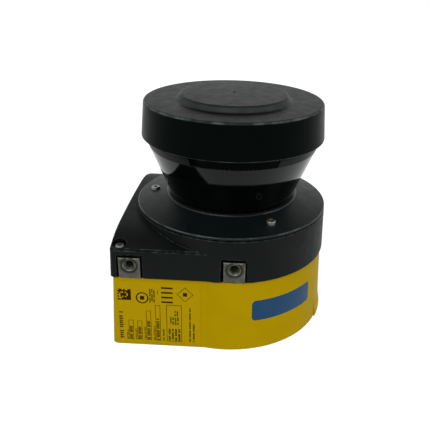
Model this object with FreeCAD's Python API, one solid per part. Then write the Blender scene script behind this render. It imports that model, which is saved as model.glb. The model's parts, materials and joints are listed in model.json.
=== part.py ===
import FreeCAD, Part
import math
import os

# Compact safety laser scanner. Millimetres, +Z up, front towards -Y.
# The origin is where the scan axis meets the underside.

V = FreeCAD.Vector
UP = V(0, 0, 1)
BACK = V(0, 1, 0)
RIGHT = V(1, 0, 0)
PAST = 1.0             # how far a cutting tool runs past the face it opens
SLIDE = 0.15           # play round a piece that is dropped into its seat
RUN = 0.03             # radial running play of the shaft in its bearings

# Lower housing, a D-shaped pot that leans in towards its top
FRONT_R = 51.2
FLAT_IN = 0.8          # the flat sides cut this far into the round front
REAR_OUT = 4.5         # the back wall is this much further out than the front
CORNER_R = 3.0
LOWER_H = 37.6
LOWER_LEAN = 2.2       # front and sides lean in by this over the lower housing
BACK_LEAN = 2.0        # and the back wall by this
LOWER_WALL = 3.0

# Sloping panel at the foot of the front with the status window
PAD_HALF_DEG = 22.0
PAD_H = 11.5
PAD_OUT = 0.7
PAD_SLOPE = 10.0
PAD_ROOT = 0.3         # the panel's slope ends this far inside the wall
STATUS_HALF_DEG = 8.0
STATUS_LOW = 1.8
STATUS_H = 5.0
STATUS_T = 0.8
STATUS_SINK = 0.2

# Seam between the housings
SEAM_T = 0.7
SEAM_INSET = 1.0

# Upper housing
OVERHANG = 1.0         # the upper housing stands out over the lower one
UPPER_H = 21.5
UPPER_LEAN = 0.9
UPPER_EDGE = 0.3       # broken edge round its top
ROOF_DROP = 6.5        # side walls of the rear corners end this far under the deck
ROOF_RISE = 4.9        # how far the rear roof rises towards the middle
ROOF_STEP = 0.8        # the roof stands back from the walls under it by this
ROOF_FLAT = 3.2        # level strip of the roof along each side
ROOF_CURVE = [(1.0, 0.0), (0.894, 0.33), (0.766, 0.66), (0.5, 0.9)]
DECK_T = 2.8
UPPER_WALL = 5.4
DECK_BORE_PLAY = 1.0   # round the lens barrel

# Mounting inserts in the side walls, for M5 threads
INSERT_W = 10.3
INSERT_H = 10.8
INSERT_L = 9.4
INSERT_FROM_BACK = 10.7
INSERT_FRONT_Y = -4.2
INSERT_HOLE_R = 2.1
INSERT_HOLE_L = 8.0
INSERT_SINK_R = 2.9
INSERT_HOLE_RISE = 6.9
INSERT_FACE_OUT = 0.25
INSERT_CHAMFER = 0.3
INSERT_BACKING = 1.5   # metal left round an insert inside the housing
POCKET_DEPTH = 1.6
POCKET_GAP = 0.4
POCKET_HEAD = 0.6
POCKET_FLARE = 1.6
POCKET_RUN = 3.0

# Hood flange
FLANGE_IN = 2.2        # the flange's rim stands in from the lower housing's front
FLANGE_W = 16.9        # from the rim to the window's neck
FLANGE_RIM_T = 1.1
FLANGE_RISE = 3.6
FLANGE_EDGE = 0.4
FLANGE_SEAT_RISE = 0.9
GASKET_T = 0.6
GASKET_INSET = 0.9
GASKET_PLAY = 0.3
FOOT_W = 3.7           # width of the foot round the window
FOOT_T = 2.0
SEAL_W = 2.1
SEAL_H = 1.5
SEAL_OUT = 0.9         # the bead stands out of the flange by this
SEAL_FILLET = 0.8

# Window and cap
WINDOW_FLARE = 10.1    # the window's top reaches this far out over its foot
WINDOW_H = 25.6
WINDOW_WALL = 3.4
TONGUE_W = 1.5
TONGUE_H = 4.0
SKIRT_H = 4.7
SKIRT_OUT = 1.9
CAP_BOTTOM_OUT = 1.5   # the cap's lower edge stands out from the skirt by this
CAP_LEAN = 1.5
CAP_EDGE = 0.25
CAP_H = 17.0
CAP_RIM_FILLET = 1.3
CAP_WALL = 2.8
CAP_SHOULDER_IN = 0.4
CAP_SHOULDER_T = 2.7
PLATEAU_IN = 16.0      # from the cap's rim
PLATEAU_H = 2.5
PLATEAU_LEAN = 1.6
PLATEAU_ROUND = 2.0
PLATEAU_FOOT = 1.4
DIMPLE_X = 2.0
DIMPLE_BALL_R = 1.4
DIMPLE_DEPTH = 0.4
STRIP_MID_DEG = 183.4  # shallow recess in the skirt
STRIP_HALF_DEG = 28.0
STRIP_DEPTH = 0.6
STRIP_EDGE = 0.7

# Screws
SCREW_R = 1.25
SCREW_HEAD_R = 2.25
SCREW_HEAD_H = 2.5
SCREW_HEAD_EDGE = 0.25
LOW_HEAD_H = 1.6
SCREW_HEX = 2.0
SCREW_HEX_DEPTH = 1.3
FLANGE_SCREW_IN = 8.5  # from the flange's rim
FLANGE_SCREW_L = 10.0
FLANGE_SCREW_DEG = (90, 210, 330)
FLANGE_BOSS_R = 4.0
FLANGE_BOSS_H = 9.0
CORNER_SCREW_IN_X = 6.0
CORNER_SCREW_IN_Y = 5.7
CORNER_SCREW_L = 24.0
CORNER_RECESS_R = 3.2
CORNER_RECESS_DEPTH = 2.5
CORNER_BOSS_W = 6.4    # from the screw towards the inside
CORNER_BOSS_L = 7.0
CORNER_BOSS_BELOW = 4.5
BASE_SCREW_R = 1.5
BASE_SCREW_HEAD_R = 2.9
BASE_SCREW_HEAD_H = 1.7
BASE_SCREW_L = 12.0
BASE_SOCKET_DEPTH = 1.0
BASE_SCREW_IN = 6.0    # from the housing's outside
BASE_SCREW_FRONT_DEG = 37.4
BASE_BOSS_R = 4.2
BASE_BOSS_H = 14.0

# Base cover
BASE_T = 3.0
BASE_INSET = 1.7

# Optics carrier, with a column in the blind rear sector and a bridge over the mirror
CARRIER_PLAY = 0.7     # inside the window's foot
CARRIER_T = 3.5
CARRIER_SCREW_IN = 7.0
CARRIER_SCREW_DEG = (30, 150, 270)
COLUMN_IN = 0.6        # from the carrier's rim
COLUMN_T = 3.4
COLUMN_HALF_DEG = 32.0
BRIDGE_RISE = 0.2      # above the cap's lower edge
BRIDGE_T = 2.5
BRIDGE_IN = 12.2       # from the window's upper edge
BEARING_R = 5.0
BEARING_T = 3.0
TUBE_WALL = 1.2        # round the bearings
TUBE_DROP = 2.9
TUBE_HEADROOM = 3.9    # under the cap's ceiling
SHAFT_PLAY = 0.8       # between the bearings

# Mirror rotor
SHAFT_R = 2.0
SHAFT_IN_HOLDER = 5.0
MIRROR_MARGIN = 1.3    # inside the window's lower and upper edge
MIRROR_T = 2.0
MIRROR_END = 1.0
HUB_R = 5.5
ENCODER_CLEAR = 3.5    # inside the carrier's column
ENCODER_T = 0.8
ENCODER_PITCH = 3.1    # from slot to slot at their inner ends
ENCODER_SLOT_W = 1.6
ENCODER_SLOT_L = 1.9
ENCODER_RIM = 0.7
ENCODER_GAP = 0.7
SENSOR_W = 8.0
SENSOR_IN = 4.5
SENSOR_OUT = 4.0
SENSOR_DROP = 3.0
SENSOR_GAP = 1.0
SENSOR_BACK = 2.8

# Motor with its rotor cup outside the stator
STATOR_R = 12.2
STATOR_RISE = 0.8      # above the bridge
STATOR_BELOW = 1.3     # under the top of the bearing tube
STATOR_HUB_T = 1.6
STATOR_TEETH = 6
TOOTH_W = 2.2
SHOE_T = 1.0
SHOE_HALF_DEG = 22.0
COIL_W = 4.0
COIL_END = 0.6
COIL_PLAY = 0.2
MOTOR_GAP = 0.5
CUP_WALL = 1.5
CUP_TOP_T = 1.5
CUP_RISE = 0.4         # above the bearing tube

# Receiver and sender optics
BARREL_IN = 12.0       # from the carrier's rim
BARREL_WALL = 1.6
BARREL_OUT = 2.7       # above the carrier
BARREL_L = 25.4
BARREL_FOOT_T = 2.4
LENS_LEDGE_W = 1.0
LENS_LEDGE_T = 1.5
LENS_SINK = 4.5
LENS_EDGE_T = 2.4
LENS_CROWN = 1.6
SENDER_R = 4.0
SENDER_WALL = 0.8
SENDER_OUT = 1.5       # above the receiver lens
SENDER_L = 12.0
COLLIMATOR_T = 3.0
COLLIMATOR_SINK = 0.6
COLLIMATOR_BALL_R = 6.0
DIODE_R = 2.8
DIODE_BASE_T = 1.2
DIODE_H = 4.5
BOARD_T = 1.6
DETECTOR_BOARD_OUT = 5.0  # round the barrel
DETECTOR_SCREW_IN = 2.4
DETECTOR_SCREW_DEG = (90, 210, 330)
DETECTOR_R = 4.1
DETECTOR_H = 4.4
DETECTOR_EDGE = 0.5
MONITOR_W = 4.2
MONITOR_T = 1.0
MONITOR_HALF_DEG = 140.0
MONITOR_LEDS = 8
LED_SPREAD_DEG = 125.0
LED_W = 1.6
LED_H = 1.2

# Boards in the lower housing
STAND_R = 2.75
STAND_IN = 5.0         # from the board's edges
STAND_FRONT_DEG = 40.0
MAIN_BOARD_RISE = 6.0
POWER_BOARD_DROP = 15.0   # from the seam
BOARD_CLEAR_R = 10.0   # board to the inside of the housing's front
BOARD_CLEAR_X = 11.2
BOARD_CLEAR_Y = 14.5
LINK_L = 20.0
LINK_W = 5.0
LINK_IN = 10.5         # from the board's back edge
HEADER_L = 10.0
HEADER_W = 8.0
HEADER_H = 3.0
CABLE_R = 1.2
CABLE_OUT = 1.5        # above the bridge
RIBBON_W = 10.0
RIBBON_T = 0.4
RIBBON_IN = 1.8        # from the detector board's rim

# Parts on the boards: centre x and y in shares of the board's radius, length along X,
# width along Y, height
MAIN_CHIPS = [(0, -0.05, 16, 16, 2.0), (-0.53, 0.03, 12, 10, 1.4), (0.53, 0.03, 12, 10, 1.4),
              (-0.47, 0.42, 8, 8, 1.2), (0.47, 0.42, 8, 8, 1.2)]
POWER_BLOCKS = [(0.45, -0.05, 14, 14, 8.0), (0, 0.05, 12, 8, 3.0), (0.37, 0.4, 12, 6, 4.0)]
CAPACITOR_SPOTS = [(-0.53, 0.16), (-0.53, -0.16)]
CAPACITOR_R = 4.0
CAPACITOR_H = 9.0

# Connectors in the back wall
PLUG_Z = 18.0
SYSTEM_X = -6.0
SYSTEM_R = 6.0
SYSTEM_PINS = 7        # round the one in the middle
CONFIG_X = 17.0
CONFIG_R = 4.4
CONFIG_PINS = 4
PLUG_OUT = 9.0
PLUG_IN = 8.0
PLUG_SEAT = 0.4        # lets the nut clear the leaning wall at its middle
PLUG_NUT_W = 4.0       # the nut's width across flats over the body's diameter
PLUG_NUT_T = 2.0
PLUG_WALL = 1.3
PIN_R = 0.5
PIN_L = 5.5
PIN_SINK = 1.5
PIN_TAIL = 1.0
PIN_CIRCLE_IN = 1.75   # from the inside of the body
SOCKET_SINK = 1.0
CONTACT_SINK = 1.2

# Label on the side wall
LABEL_T = 0.15
LABEL_L = 39.4
LABEL_FROM_BACK = 4.7
LABEL_IN = 1.6         # from the housing's lower and upper edge

# Sizes and places that follow from those above
FLAT_X = FRONT_R - FLAT_IN
BACK_Y = FRONT_R + REAR_OUT
FLANGE_R = FRONT_R - FLANGE_IN
NECK_R = FLANGE_R - FLANGE_W
WINDOW_TOP_R = NECK_R + WINDOW_FLARE
SEAM_Z = LOWER_H
UPPER_Z0 = SEAM_Z + SEAM_T
UPPER_Z1 = UPPER_Z0 + UPPER_H
UPPER_INSET = LOWER_LEAN - OVERHANG
UPPER_R = FRONT_R - UPPER_INSET
UPPER_BORE_R = UPPER_R - UPPER_LEAN - UPPER_WALL
ROOF_Z = UPPER_Z1 - ROOF_DROP
DECK_Z = UPPER_Z1 - DECK_T
INSERT_FACE = FLAT_X - UPPER_INSET + INSERT_FACE_OUT
INSERT_YS = (BACK_Y - INSERT_FROM_BACK, INSERT_FRONT_Y)
FLANGE_Z0 = UPPER_Z1 + GASKET_T
FLANGE_TOP_Z = FLANGE_Z0 + FLANGE_RIM_T
FLANGE_SEAT_Z = FLANGE_TOP_Z + FLANGE_SEAT_RISE
FLANGE_PEAK_Z = FLANGE_TOP_Z + FLANGE_RISE
FOOT_R = NECK_R + FOOT_W
FOOT_Z = FLANGE_Z0 + FOOT_T
SEAL_R = NECK_R + SEAL_W
SEAL_Z1 = FLANGE_PEAK_Z + SEAL_OUT
SEAL_Z0 = SEAL_Z1 - SEAL_H
WINDOW_Z0 = SEAL_Z1
WINDOW_Z1 = WINDOW_Z0 + WINDOW_H
TONGUE_R = WINDOW_TOP_R - TONGUE_W
TONGUE_Z = WINDOW_Z1 + TONGUE_H
SKIRT_Z = WINDOW_Z1 + SKIRT_H
SKIRT_R = WINDOW_TOP_R + SKIRT_OUT
CAP_BOTTOM_R = SKIRT_R + CAP_BOTTOM_OUT
CAP_TOP_R = CAP_BOTTOM_R - CAP_LEAN
CAP_RIM_Z = SKIRT_Z + CAP_H
CEILING_Z = CAP_RIM_Z - CAP_WALL
PLATEAU_R = CAP_TOP_R - PLATEAU_IN
TOTAL_H = CAP_RIM_Z + PLATEAU_H
CORNER_SCREW_X = FLAT_X - CORNER_SCREW_IN_X
CORNER_SCREW_Y = BACK_Y - CORNER_SCREW_IN_Y
CORNER_SEAT_Z = ROOF_Z - CORNER_RECESS_DEPTH
CORNER_TIP_Z = CORNER_SEAT_Z - CORNER_SCREW_L
CARRIER_R = NECK_R - WINDOW_WALL - CARRIER_PLAY
CARRIER_TOP_Z = UPPER_Z1 + CARRIER_T
COLUMN_R1 = CARRIER_R - COLUMN_IN
COLUMN_R0 = COLUMN_R1 - COLUMN_T
CABLE_Y = COLUMN_R1 - COLUMN_T / 2
BRIDGE_R = WINDOW_TOP_R - BRIDGE_IN
BRIDGE_Z = SKIRT_Z + BRIDGE_RISE
BRIDGE_TOP_Z = BRIDGE_Z + BRIDGE_T
TUBE_R = BEARING_R + TUBE_WALL
TUBE_Z0 = BRIDGE_Z - TUBE_DROP
TUBE_Z1 = CEILING_Z - TUBE_HEADROOM
STATOR_Z0 = BRIDGE_TOP_Z + STATOR_RISE
STATOR_Z1 = TUBE_Z1 - STATOR_BELOW
MIRROR_R = WINDOW_H / 2 - MIRROR_MARGIN
MIRROR_Z = (WINDOW_Z0 + WINDOW_Z1) / 2
HOLDER_TOP_Z = MIRROR_Z + MIRROR_R + MIRROR_END
DISC_Z = TUBE_Z0 - ENCODER_GAP - ENCODER_T
ENCODER_R = COLUMN_R0 - ENCODER_CLEAR
SLOT_R1 = ENCODER_R - ENCODER_RIM
SLOT_R0 = SLOT_R1 - ENCODER_SLOT_L
ENCODER_SLOTS = int(2 * math.pi * SLOT_R0 / ENCODER_PITCH)
SHAFT_Z0 = HOLDER_TOP_Z - SHAFT_IN_HOLDER
CUP_Z = TUBE_Z1 + CUP_RISE
SHAFT_Z1 = CUP_Z + CUP_TOP_T
BARREL_R = CARRIER_R - BARREL_IN
BARREL_Z1 = CARRIER_TOP_Z + BARREL_OUT
DECK_BORE_R = BARREL_R + DECK_BORE_PLAY
DETECTOR_BOARD_R = BARREL_R + DETECTOR_BOARD_OUT
BARREL_Z0 = BARREL_Z1 - BARREL_L
LENS_Z = BARREL_Z1 - LENS_SINK
LENS_TOP_Z = LENS_Z + LENS_EDGE_T + LENS_CROWN
SENDER_Z1 = LENS_TOP_Z + SENDER_OUT
SENDER_Z0 = SENDER_Z1 - SENDER_L
MAIN_Z = BASE_T + MAIN_BOARD_RISE
POWER_Z = LOWER_H - POWER_BOARD_DROP
BOARD_R = FRONT_R - LOWER_WALL - BOARD_CLEAR_R
BOARD_X = FLAT_X - LOWER_WALL - BOARD_CLEAR_X
BOARD_Y1 = BACK_Y - LOWER_WALL - BOARD_CLEAR_Y
LINK_Y = BOARD_Y1 - LINK_IN
FAR = FRONT_R + BACK_Y

made = {}


def keep(name, *solids):
    """Store one piece, or a group of equal pieces, under its node name."""
    shape = solids[0] if len(solids) == 1 else Part.makeCompound(list(solids))
    made[name] = shape
    return shape


def post(r, z0, z1, x=0.0, y=0.0):
    """Upright cylinder."""
    return Part.makeCylinder(r, z1 - z0, V(x, y, z0))


def rod(r, y0, y1, x, z):
    """Cylinder lying along Y."""
    return Part.makeCylinder(r, y1 - y0, V(x, y0, z), BACK)


def ring(r1, r0, z0, z1):
    """Tube about the scan axis."""
    return post(r1, z0, z1).cut(post(r0, z0 - PAST, z1 + PAST))


def block(x0, x1, y0, y1, z0, z1):
    return Part.makeBox(x1 - x0, y1 - y0, z1 - z0, V(x0, y0, z0))


def lathe(points):
    """Solid of revolution about the scan axis from (radius, height) points."""
    corners = [V(r, 0, z) for r, z in points]
    face = Part.Face(Part.makePolygon(corners + corners[:1]))
    return face.revolve(V(0, 0, 0), UP, 360)


def sector(r1, r0, z0, z1, mid_deg, half_deg):
    """Ring stretch between two radii, centred on one direction."""
    turn = math.radians(mid_deg)
    start = math.radians(mid_deg - half_deg)
    end = math.radians(mid_deg + half_deg)

    def at(r, a):
        return V(r * math.cos(a), r * math.sin(a), z0)

    outer = Part.Arc(at(r1, start), at(r1, turn), at(r1, end)).toShape()
    inner = Part.Arc(at(r0, end), at(r0, turn), at(r0, start)).toShape()
    side_a = Part.makeLine(at(r1, end), at(r0, end))
    side_b = Part.makeLine(at(r0, start), at(r1, start))
    face = Part.Face(Part.Wire([outer, side_a, inner, side_b]))
    return face.extrude(V(0, 0, z1 - z0))


def hexagon(across, z0, z1, x=0.0, y=0.0):
    """Six-sided prism, given its width across flats."""
    r = across / math.sqrt(3)
    corners = [V(x + dx, y + dy, z0) for dx, dy in spots(r, [60 * i for i in range(7)])]
    return Part.Face(Part.makePolygon(corners)).extrude(V(0, 0, z1 - z0))


def spots(radius, degrees):
    """Points at one radius in the given directions."""
    return [(radius * math.cos(math.radians(a)), radius * math.sin(math.radians(a)))
            for a in degrees]


def turned(shape, degrees):
    """Copy of a shape, turned about the scan axis."""
    out = shape.copy()
    out.rotate(V(0, 0, 0), UP, degrees)
    return out


def mirrored(shape):
    return shape.mirror(V(0, 0, 0), RIGHT)


def both_sides(shape):
    """A shape at the right and its mirror image at the left."""
    return [shape, mirrored(shape)]


def rim_edges(shape, z, r):
    """Round edges that lie level at one height and reach at least one radius."""
    return [e for e in shape.Edges
            if abs(e.BoundBox.ZMin - z) < 0.01 and abs(e.BoundBox.ZMax - z) < 0.01
            and e.BoundBox.XMax > r]


def lean_at(z):
    """How far the front and sides have leaned in at height z."""
    return LOWER_LEAN * z / LOWER_H


def back_at(z):
    """How much more than the other walls the back has leaned in at height z."""
    return (BACK_LEAN - LOWER_LEAN) * min(z, LOWER_H) / LOWER_H


def plan(inset, z):
    """D-shaped outline: round front, flat sides, flat back with rounded corners."""
    r = FRONT_R - inset
    x = FLAT_X - inset
    y = BACK_Y - inset - back_at(z)
    c = max(CORNER_R - inset / 2, CORNER_R / 5)
    meet = math.sqrt(r * r - x * x)
    k = c * (1 - math.sqrt(0.5))
    front = Part.Arc(V(x, meet, z), V(0, -r, z), V(-x, meet, z)).toShape()
    left = Part.makeLine(V(-x, meet, z), V(-x, y - c, z))
    left_corner = Part.Arc(V(-x, y - c, z), V(-x + k, y - k, z), V(-x + c, y, z)).toShape()
    back = Part.makeLine(V(-x + c, y, z), V(x - c, y, z))
    right_corner = Part.Arc(V(x - c, y, z), V(x - k, y - k, z), V(x, y - c, z)).toShape()
    right = Part.makeLine(V(x, y - c, z), V(x, meet, z))
    return Part.Wire([front, left, left_corner, back, right_corner, right])


def tapered(inset0, z0, inset1, z1):
    """Solid between two of those outlines."""
    return Part.makeLoft([plan(inset0, z0), plan(inset1, z1)], True, True)


def lower_body(grow=0.0):
    return tapered(-grow, 0, LOWER_LEAN - grow, LOWER_H)


def cap_screw(x, y, seat_z, length):
    """Socket head screw standing on seat_z, shank downwards."""
    top = seat_z + SCREW_HEAD_H
    head = post(SCREW_HEAD_R, seat_z, top, x, y)
    head = head.makeChamfer(SCREW_HEAD_EDGE, rim_edges(head, top, x))
    socket = hexagon(SCREW_HEX, top - SCREW_HEX_DEPTH, top + PAST, x, y)
    shank = post(SCREW_R, seat_z - length, seat_z, x, y)
    return head.cut(socket).fuse(shank)


def low_screw(x, y, seat_z, length, down=True):
    """Plain low-headed screw; down says which way its shank points."""
    step = -1 if down else 1
    head = post(SCREW_HEAD_R, *sorted((seat_z, seat_z - step * LOW_HEAD_H)), x, y)
    return head.fuse(post(SCREW_R, *sorted((seat_z, seat_z + step * length)), x, y))


def flange_screw_spots():
    return spots(FLANGE_R - FLANGE_SCREW_IN, FLANGE_SCREW_DEG)


def carrier_screw_spots():
    return spots(CARRIER_R - CARRIER_SCREW_IN, CARRIER_SCREW_DEG)


def detector_screw_spots():
    return spots(DETECTOR_BOARD_R - DETECTOR_SCREW_IN, DETECTOR_SCREW_DEG)


def base_screw_spots():
    x = FLAT_X - BASE_SCREW_IN
    y = BACK_Y - BASE_SCREW_IN
    front = (-BASE_SCREW_FRONT_DEG, BASE_SCREW_FRONT_DEG - 180)
    return [(x, y), (-x, y)] + spots(FRONT_R - BASE_SCREW_IN, front)


def stand_spots():
    x = BOARD_X - STAND_IN
    y = BOARD_Y1 - STAND_IN
    front = (-STAND_FRONT_DEG, STAND_FRONT_DEG - 180)
    return [(x, y), (-x, y)] + spots(BOARD_R - STAND_IN, front)


def corner_screw_spots():
    return [(CORNER_SCREW_X, CORNER_SCREW_Y), (-CORNER_SCREW_X, CORNER_SCREW_Y)]


def corner_bosses(z0, z1):
    """Blocks in the rear corners that carry the corner screws."""
    return both_sides(block(CORNER_SCREW_X - CORNER_BOSS_W, FAR,
                            CORNER_SCREW_Y - CORNER_BOSS_L, FAR, z0, z1))


def front_panel(sink, z0, z1, half_deg):
    """Stretch of the sloping front panel, with its face set back by sink."""
    face_r = FRONT_R + PAD_OUT - sink
    form = lathe([(0, 0), (face_r, 0), (face_r, PAD_H - PAD_SLOPE),
                  (FRONT_R - lean_at(PAD_H) - PAD_ROOT - sink, PAD_H), (0, PAD_H)])
    return form.common(sector(FAR, FRONT_R - LOWER_WALL, z0, z1, -90, half_deg))


def status_pane(sink):
    return front_panel(sink, STATUS_LOW, STATUS_LOW + STATUS_H, STATUS_HALF_DEG)


def make_lower_housing():
    body = lower_body().fuse(front_panel(0, 0, PAD_H, PAD_HALF_DEG))
    inner = tapered(LOWER_WALL, BASE_T, LOWER_WALL + LOWER_LEAN, LOWER_H + PAST / 100)
    bosses = [post(BASE_BOSS_R, BASE_T, BASE_T + BASE_BOSS_H, x, y)
              for x, y in base_screw_spots()]
    bosses += corner_bosses(CORNER_TIP_Z - CORNER_BOSS_BELOW, LOWER_H + PAST)
    for boss in bosses:
        inner = inner.cut(boss)
    body = body.cut(inner).cut(tapered(BASE_INSET, -PAST, BASE_INSET, BASE_T))
    for x, y in base_screw_spots():
        body = body.cut(post(BASE_SCREW_R, 0, BASE_SCREW_L, x, y))
    for x, y in corner_screw_spots():
        body = body.cut(post(SCREW_R, CORNER_TIP_Z, LOWER_H + PAST, x, y))
    for x, r in ((SYSTEM_X, SYSTEM_R), (CONFIG_X, CONFIG_R)):
        body = body.cut(rod(r, back_wall(PLUG_Z) - PLUG_IN - PAST, FAR, x, PLUG_Z))
    recess = status_pane(0).cut(status_pane(STATUS_SINK + STATUS_T))
    keep("lower_housing", body.cut(recess))


def make_status_window():
    keep("status_window", status_pane(STATUS_SINK).cut(status_pane(STATUS_SINK + STATUS_T)))


def make_side_label():
    rear_y = BACK_Y - LABEL_FROM_BACK
    skin = lower_body(LABEL_T).common(block(-FAR, 0, rear_y - LABEL_L, rear_y, LABEL_IN,
                                            LOWER_H - LABEL_IN))
    keep("side_label", skin.cut(lower_body()))


def make_housing_gasket():
    edge = LOWER_LEAN + SEAM_INSET
    inside = LOWER_LEAN + LOWER_WALL
    outer = tapered(edge, SEAM_Z, edge, UPPER_Z0)
    rim = outer.cut(tapered(inside, SEAM_Z - PAST, inside, UPPER_Z0 + PAST))
    for tab in corner_bosses(SEAM_Z, UPPER_Z0):
        rim = rim.fuse(tab.common(outer))
    for x, y in corner_screw_spots():
        rim = rim.cut(post(SCREW_R, SEAM_Z - PAST, UPPER_Z0 + PAST, x, y))
    keep("housing_gasket", rim.removeSplitter())


def roof_profile(drop):
    """Space under the rear roof, which is level at the sides and arches to the middle."""
    edge_z = ROOF_Z - drop
    reach = FLAT_X + PAST
    level = FLAT_X - ROOF_FLAT
    rise = [(reach, 0.0)] + [(level * x, k) for x, k in ROOF_CURVE] + [(0.0, 1.0)]
    left = [V(-x, 0, edge_z + k * ROOF_RISE) for x, k in rise]
    right = [V(x, 0, edge_z + k * ROOF_RISE) for x, k in reversed(rise[:-1])]
    curve = Part.BSplineCurve()
    curve.interpolate(left + right)
    z0 = UPPER_Z0 - PAST
    sides = Part.makePolygon([V(reach, 0, edge_z), V(reach, 0, z0), V(-reach, 0, z0),
                              V(-reach, 0, edge_z)])
    face = Part.Face(Part.Wire([curve.toShape()] + sides.Edges))
    return face.extrude(V(0, FAR, 0))


def make_upper_housing():
    walls = tapered(UPPER_INSET, UPPER_Z0, UPPER_INSET + UPPER_LEAN, UPPER_Z1)
    roof_in = UPPER_INSET + ROOF_STEP
    roof = tapered(roof_in, UPPER_Z0, roof_in + UPPER_LEAN, UPPER_Z1)
    rear = walls.common(roof_profile(ROOF_STEP)).fuse(roof.common(roof_profile(0)))
    top_r = UPPER_R - UPPER_LEAN
    round_wall = lathe([(0, UPPER_Z0), (UPPER_R, UPPER_Z0), (top_r, UPPER_Z1 - UPPER_EDGE),
                        (top_r - UPPER_EDGE, UPPER_Z1), (0, UPPER_Z1)])
    body = rear.fuse(round_wall)
    bore = post(UPPER_BORE_R, UPPER_Z0 - PAST, DECK_Z)
    for y in INSERT_YS:
        half = INSERT_W / 2 + INSERT_BACKING
        backing = block(INSERT_FACE - INSERT_L - INSERT_BACKING, FAR, y - half, y + half,
                        UPPER_Z0 - PAST, UPPER_Z0 + INSERT_H + INSERT_BACKING)
        for solid in both_sides(backing):
            bore = bore.cut(solid)
    for x, y in flange_screw_spots():
        bore = bore.cut(post(FLANGE_BOSS_R, DECK_Z - FLANGE_BOSS_H, DECK_Z + PAST, x, y))
    body = body.cut(bore).cut(post(DECK_BORE_R, DECK_Z - PAST, UPPER_Z1 + PAST))
    for y in INSERT_YS:
        for pocket in both_sides(insert_pocket(y)):
            body = body.cut(pocket)
    for x, y in flange_screw_spots():
        body = body.cut(post(SCREW_R, FLANGE_SEAT_Z - FLANGE_SCREW_L, UPPER_Z1 + PAST, x, y))
    for x, y in carrier_screw_spots():
        body = body.cut(post(SCREW_R, DECK_Z, UPPER_Z1 + PAST, x, y))
    body = body.cut(post(CABLE_R, DECK_Z - PAST, UPPER_Z1 + PAST, 0, CABLE_Y))
    for x, y in corner_screw_spots():
        body = body.cut(post(SCREW_R, UPPER_Z0 - PAST, ROOF_Z, x, y))
        body = body.cut(post(CORNER_RECESS_R, CORNER_SEAT_Z, UPPER_Z1, x, y))
    keep("upper_housing", body)


def insert_pocket(y):
    """Deep seat for one insert, with a flared shallow mouth round it."""
    half = INSERT_W / 2
    seat = block(INSERT_FACE - INSERT_L, FAR, y - half, y + half,
                 UPPER_Z0 - PAST, UPPER_Z0 + INSERT_H)

    def frame(x, grow):
        side = half + POCKET_GAP + grow
        top = UPPER_Z0 + INSERT_H + POCKET_HEAD + grow
        low = UPPER_Z0 - PAST
        return Part.makePolygon([V(x, y - side, top), V(x, y + side, top),
                                 V(x, y + side, low), V(x, y - side, low), V(x, y - side, top)])

    x0 = INSERT_FACE - POCKET_DEPTH
    mouth = Part.makeLoft([frame(x0, 0), frame(x0 + POCKET_RUN, POCKET_FLARE)], True, True)
    return seat.fuse(mouth)


def make_inserts():
    inserts = []
    z = UPPER_Z0 + INSERT_HOLE_RISE
    sink = INSERT_SINK_R - INSERT_HOLE_R
    for y in INSERT_YS:
        body = block(INSERT_FACE - INSERT_L, INSERT_FACE, y - INSERT_W / 2, y + INSERT_W / 2,
                     UPPER_Z0, UPPER_Z0 + INSERT_H)
        rim = [e for e in body.Edges if e.BoundBox.XMin > INSERT_FACE - 0.01]
        body = body.makeChamfer(INSERT_CHAMFER, rim)
        hole = Part.makeCylinder(INSERT_HOLE_R, INSERT_HOLE_L,
                                 V(INSERT_FACE - INSERT_HOLE_L, y, z), RIGHT)
        cone = Part.makeCone(INSERT_HOLE_R, INSERT_SINK_R, sink, V(INSERT_FACE - sink, y, z),
                             RIGHT)
        body = body.cut(hole).cut(cone)
        body = body.cut(post(SCREW_R, 0, TOTAL_H, CORNER_SCREW_X, CORNER_SCREW_Y))
        inserts += both_sides(body)
    keep("mounting_inserts", *inserts)


def make_flange():
    body = lathe([(FOOT_R, FLANGE_Z0), (FLANGE_R, FLANGE_Z0),
                  (FLANGE_R, FLANGE_TOP_Z - FLANGE_EDGE), (FLANGE_R - FLANGE_EDGE, FLANGE_TOP_Z),
                  (SEAL_R, FLANGE_PEAK_Z), (SEAL_R, SEAL_Z0), (NECK_R, SEAL_Z0),
                  (NECK_R, FOOT_Z), (FOOT_R, FOOT_Z)])
    gasket = ring(FLANGE_R - GASKET_INSET, CARRIER_R + GASKET_PLAY, UPPER_Z1, FLANGE_Z0)
    screws = []
    for x, y in flange_screw_spots():
        shank = post(SCREW_R, UPPER_Z1 - PAST, FLANGE_PEAK_Z, x, y)
        head = post(SCREW_HEAD_R + SLIDE, FLANGE_SEAT_Z, TOTAL_H, x, y)
        body = body.cut(head).cut(shank)
        gasket = gasket.cut(shank)
        screws.append(cap_screw(x, y, FLANGE_SEAT_Z, FLANGE_SCREW_L))
    keep("hood_flange", body)
    keep("flange_gasket", gasket)
    keep("flange_screws", *screws)


def make_window_seal():
    bead = ring(SEAL_R, NECK_R, SEAL_Z0, SEAL_Z1)
    keep("window_seal", bead.makeFillet(SEAL_FILLET, rim_edges(bead, SEAL_Z1, NECK_R + PAST)))


def make_window():
    slope = (WINDOW_TOP_R - NECK_R) / (WINDOW_Z1 - WINDOW_Z0)
    inner_low = NECK_R - WINDOW_WALL
    inner_top = WINDOW_TOP_R - WINDOW_WALL
    keep("window_hood", lathe([
        (inner_low, FLANGE_Z0), (FOOT_R, FLANGE_Z0), (FOOT_R, FOOT_Z), (NECK_R, FOOT_Z),
        (NECK_R, WINDOW_Z0), (WINDOW_TOP_R, WINDOW_Z1), (TONGUE_R, WINDOW_Z1),
        (TONGUE_R, TONGUE_Z), (inner_top - slope, TONGUE_Z), (inner_top, WINDOW_Z1),
        (inner_low, WINDOW_Z0)]))


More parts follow.
